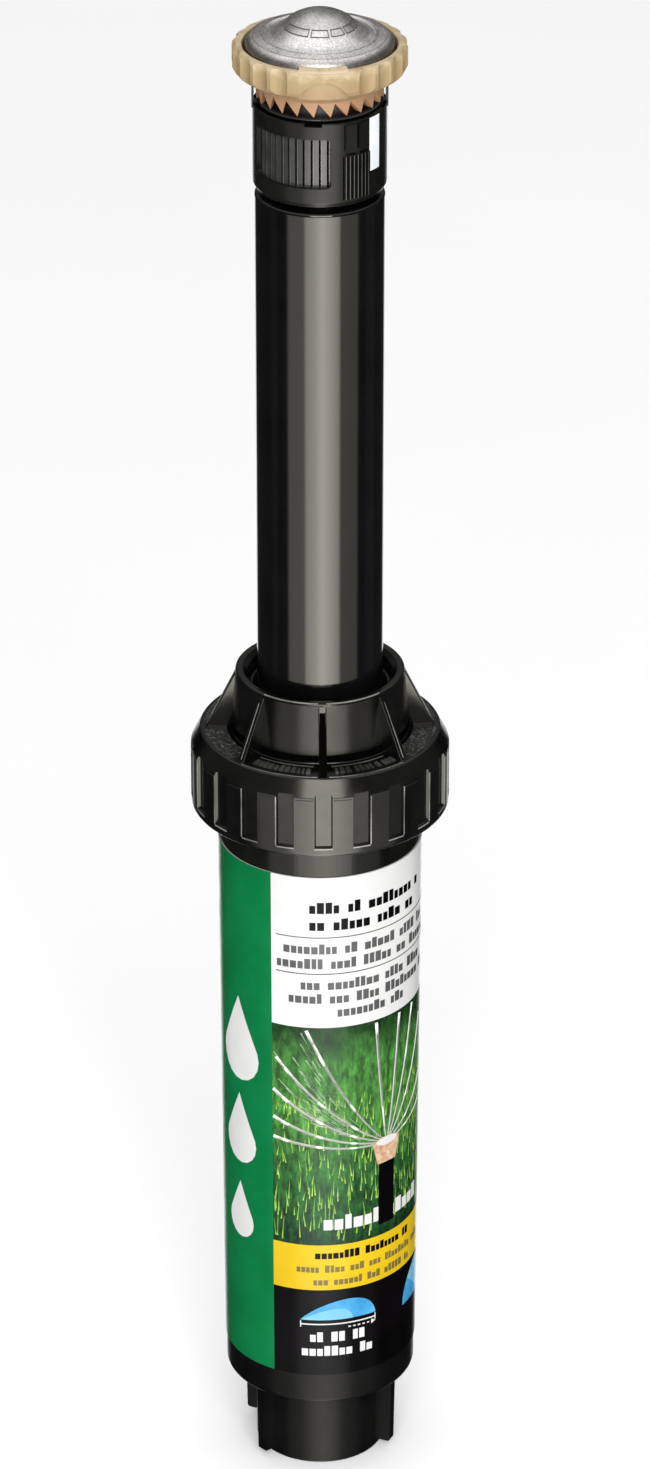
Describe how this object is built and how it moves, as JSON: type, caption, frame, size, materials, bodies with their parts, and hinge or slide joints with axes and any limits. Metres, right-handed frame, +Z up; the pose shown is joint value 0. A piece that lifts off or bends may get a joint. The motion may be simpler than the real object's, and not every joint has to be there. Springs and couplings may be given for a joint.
{
  "type": "pop up sprinkler",
  "caption": "Pop-up lawn sprinkler with its riser up: ribbed screw cap, printed sleeve on a tapered case, threaded inlet boss and an adjustable rotary nozzle under a metal cover.",
  "frame": {"origin": "centre of the inlet mouth, on the underside of the boss, where the sprinkler stands", "axes": "+Z up along the riser's axis; -Y is the front, which the printed panel faces"},
  "size_m": [0.0442, 0.0442, 0.2724],
  "materials": {
    "case_black": "satin moulded plastic",
    "cap_black": "satin moulded plastic",
    "riser_black": "smooth glossy tube",
    "nozzle_black": "satin moulded plastic",
    "marker_white": "white moulded inlay",
    "label_film": "printed film",
    "seal_rubber": "moulded rubber",
    "ratchet_grey": "slippery moulded plastic",
    "spring_steel": "drawn stainless wire",
    "filter_green": "moulded plastic",
    "screen_steel": "fine woven mesh",
    "inner_white": "slippery moulded plastic",
    "collar_tan": "satin moulded plastic",
    "rotor_black": "satin moulded plastic",
    "cover_steel": "fine blasted stainless"
  },
  "bodies": {
    "case": {"body_case": "case_black", "label_sleeve": "label_film"},
    "seal": {"wiper_seal": "seal_rubber", "spring_washer": "ratchet_grey"},
    "cap": {"threaded_cap": "cap_black"},
    "ratchet": {"ratchet_ring": "ratchet_grey", "retract_spring": "spring_steel"},
    "riser": {"riser_stem": "riser_black", "ratchet_retainer": "ratchet_grey", "filter_frame": "filter_green", "filter_screen": "screen_steel", "nozzle_gasket": "seal_rubber", "nozzle_base": "nozzle_black", "edge_marker": "marker_white", "nozzle_core": "nozzle_black", "shaft_bush": "inner_white"},
    "radius_control": {"radius_ring": "nozzle_black"},
    "arc_control": {"arc_collar": "collar_tan", "arc_valve": "inner_white"},
    "turret": {"deflector_shaft": "spring_steel", "shaft_clip": "spring_steel", "brake_stator": "inner_white", "flush_spring": "spring_steel"},
    "rotor": {"deflector_rotor": "rotor_black", "thrust_washer": "inner_white", "brake_seal": "seal_rubber", "brake_lid": "inner_white", "cover_disc": "cover_steel"}
  },
  "joints": [
    {"name": "cap_lift", "type": "slide", "parent": "case", "child": "seal", "axis": [0, 0, 1], "range_m": [0, 0.006]},
    {"name": "cap_turn", "type": "hinge", "parent": "seal", "child": "cap", "pos_m": [0, 0, 0], "axis": [0, 0, 1], "range_deg": [0, 725]},
    {"name": "riser_slide", "type": "slide", "parent": "case", "child": "ratchet", "axis": [0, 0, 1], "range_m": [-0.1016, 0], "deforming": ["retract_spring"]},
    {"name": "riser_turn", "type": "hinge", "parent": "ratchet", "child": "riser", "pos_m": [0, 0, 0], "axis": [0, 0, 1], "continuous": true},
    {"name": "radius_turn", "type": "hinge", "parent": "riser", "child": "radius_control", "pos_m": [0, 0, 0], "axis": [0, 0, 1], "range_deg": [0, 180]},
    {"name": "arc_turn", "type": "hinge", "parent": "riser", "child": "arc_control", "pos_m": [0, 0, 0], "axis": [0, 0, 1], "range_deg": [-135, 90]},
    {"name": "flush_pull", "type": "slide", "parent": "riser", "child": "turret", "axis": [0, 0, 1], "range_m": [0, 0.006], "stiffness_N_per_m": 250, "springref_m": -0.004, "deforming": ["flush_spring"]},
    {"name": "deflector_spin", "type": "hinge", "parent": "turret", "child": "rotor", "pos_m": [0, 0, 0], "axis": [0, 0, 1], "continuous": true}
  ],
  "couplings": [
    {"joint": "cap_turn", "follows": "cap_lift", "rad_per_m": 2094.4}
  ]
}
